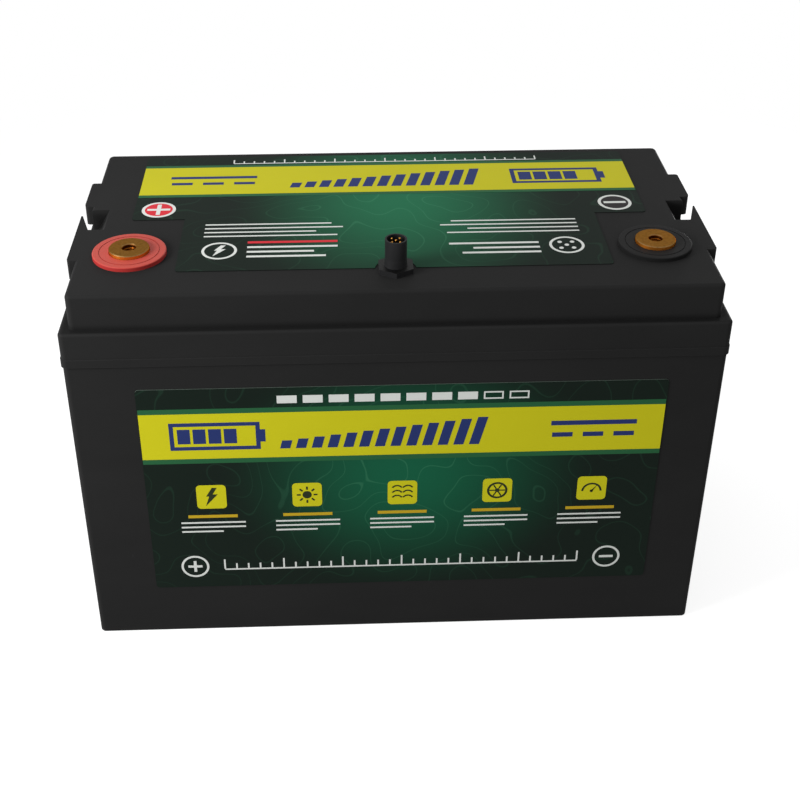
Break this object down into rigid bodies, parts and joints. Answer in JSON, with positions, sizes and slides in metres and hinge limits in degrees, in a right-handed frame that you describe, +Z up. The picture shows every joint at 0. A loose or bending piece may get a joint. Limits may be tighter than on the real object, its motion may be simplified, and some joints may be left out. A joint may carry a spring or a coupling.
{
  "type": "deep cycle battery",
  "caption": "Sealed deep cycle leisure battery: black case with stepped lid, brass screw terminals in red and black rings, handle lugs and a round data connector.",
  "frame": {"origin": "middle of the underside, on the surface that the battery stands on", "axes": "+X along the length towards the negative terminal, +Y towards the back, away from the terminals, +Z up"},
  "size_m": [0.3308, 0.1728, 0.2311],
  "materials": {
    "case_black": "fine moulded texture, satin black",
    "adhesive": "cured adhesive",
    "brass": "turned brass",
    "ring_red": "satin red moulding",
    "ring_black": "satin black moulding",
    "gasket_rubber": "moulded rubber",
    "plated_steel": "zinc plated",
    "connector_black": "moulded nylon",
    "insulator_black": "matt",
    "contact_gold": "gold plated",
    "front_print": "printed vinyl film",
    "top_print": "printed vinyl film",
    "foam_grey": "closed cell foam",
    "cell_aluminium": "drawn can",
    "electrode_stack": "wound foils in film",
    "post_aluminium": "machined",
    "copper": "bare copper",
    "sheet_white": "insulating sheet",
    "circuit_green": "solder mask",
    "circuit_amber": "polyimide film",
    "component_black": "moulded packages",
    "cable_red": "silicone jacket",
    "cable_black": "silicone jacket"
  },
  "bodies": {
    "root": {"container": "case_black", "lid": "case_black", "lid_seal": "adhesive", "positive_terminal": "brass", "negative_terminal": "brass", "positive_ring": "ring_red", "negative_ring": "ring_black", "terminal_gaskets": "gasket_rubber", "terminal_nuts": "plated_steel", "connector_shell": "connector_black", "connector_insert": "insulator_black", "connector_pins": "contact_gold", "connector_gasket": "gasket_rubber", "connector_nut": "plated_steel", "front_label": "front_print", "top_label": "top_print", "base_pad": "foam_grey", "foam_block_left": "foam_grey", "foam_block_right": "foam_grey", "side_pads": "foam_grey", "top_foam": "foam_grey", "cell_positive_posts": "post_aluminium", "cell_negative_posts": "copper", "cell_post_gaskets": "gasket_rubber", "cell_vents": "cell_aluminium", "cell_insulators": "sheet_white", "end_plate_left": "cell_aluminium", "end_plate_right": "cell_aluminium", "strap_lower": "plated_steel", "strap_upper": "plated_steel", "busbar_1_2": "copper", "busbar_2_3": "copper", "busbar_3_4": "copper", "cell_nuts": "plated_steel", "sense_circuit": "circuit_amber", "bms_tray": "sheet_white", "bms_board": "circuit_green", "bms_transistors": "component_black", "bms_heatsink": "cell_aluminium", "bms_shunts": "copper", "bms_screws": "plated_steel", "power_bolts": "plated_steel", "comms_board": "circuit_green", "comms_cable": "cable_black", "balance_cable": "cable_black", "positive_cable": "cable_red", "negative_cables": "cable_black", "cable_lugs": "copper", "cell_can_1": "cell_aluminium", "cell_lid_1": "cell_aluminium", "cell_core_1": "electrode_stack", "cell_can_2": "cell_aluminium", "cell_lid_2": "cell_aluminium", "cell_core_2": "electrode_stack", "cell_can_3": "cell_aluminium", "cell_lid_3": "cell_aluminium", "cell_core_3": "electrode_stack", "cell_can_4": "cell_aluminium", "cell_lid_4": "cell_aluminium", "cell_core_4": "electrode_stack"}
  },
  "joints": []
}
